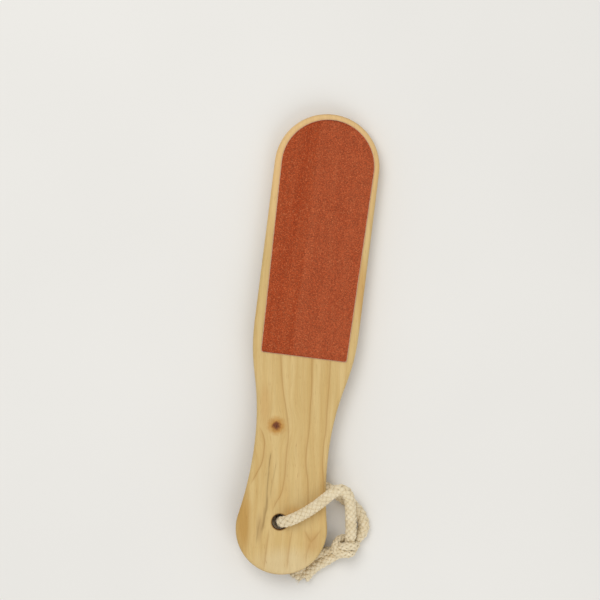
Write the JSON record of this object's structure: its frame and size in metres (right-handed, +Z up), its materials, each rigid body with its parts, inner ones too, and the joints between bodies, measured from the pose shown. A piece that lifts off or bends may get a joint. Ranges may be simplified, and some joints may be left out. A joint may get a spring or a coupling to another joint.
{
  "type": "foot file",
  "caption": "Flat wooden foot file: a paddle with an abrasive sheet on each face of its blade, a waisted handle with a round end, and a knotted cotton hanging cord.",
  "frame": {"origin": "on the surface that the file lies on, under the middle of the paddle's length and width", "axes": "+Y from the handle to the blade's tip, +X to the right seen from the front face, +Z up from the surface"},
  "size_m": [0.0788, 0.2651, 0.0242],
  "materials": {
    "pine": "bare sanded pine",
    "glue": "dried contact glue",
    "backing": "brown backing paper",
    "grit": "red-brown mineral grit in resin",
    "cotton": "braided natural cotton"
  },
  "bodies": {
    "paddle": {"paddle_board": "pine", "front_glue_film": "glue", "front_backing_paper": "backing", "front_grit_coat": "grit", "rear_glue_film": "glue", "rear_backing_paper": "backing", "rear_grit_coat": "grit"},
    "hanging_cord": {"cord_loop": "cotton", "cord_knot": "cotton", "cord_tail_inner": "cotton", "cord_tail_outer": "cotton"}
  },
  "joints": [
    {"name": "cord_swing", "type": "hinge", "parent": "paddle", "child": "hanging_cord", "pos_m": [-0.0015, -0.10066, 0.01203], "axis": [0, 0.0289, 0.9996], "range_deg": [-170, 10]}
  ]
}
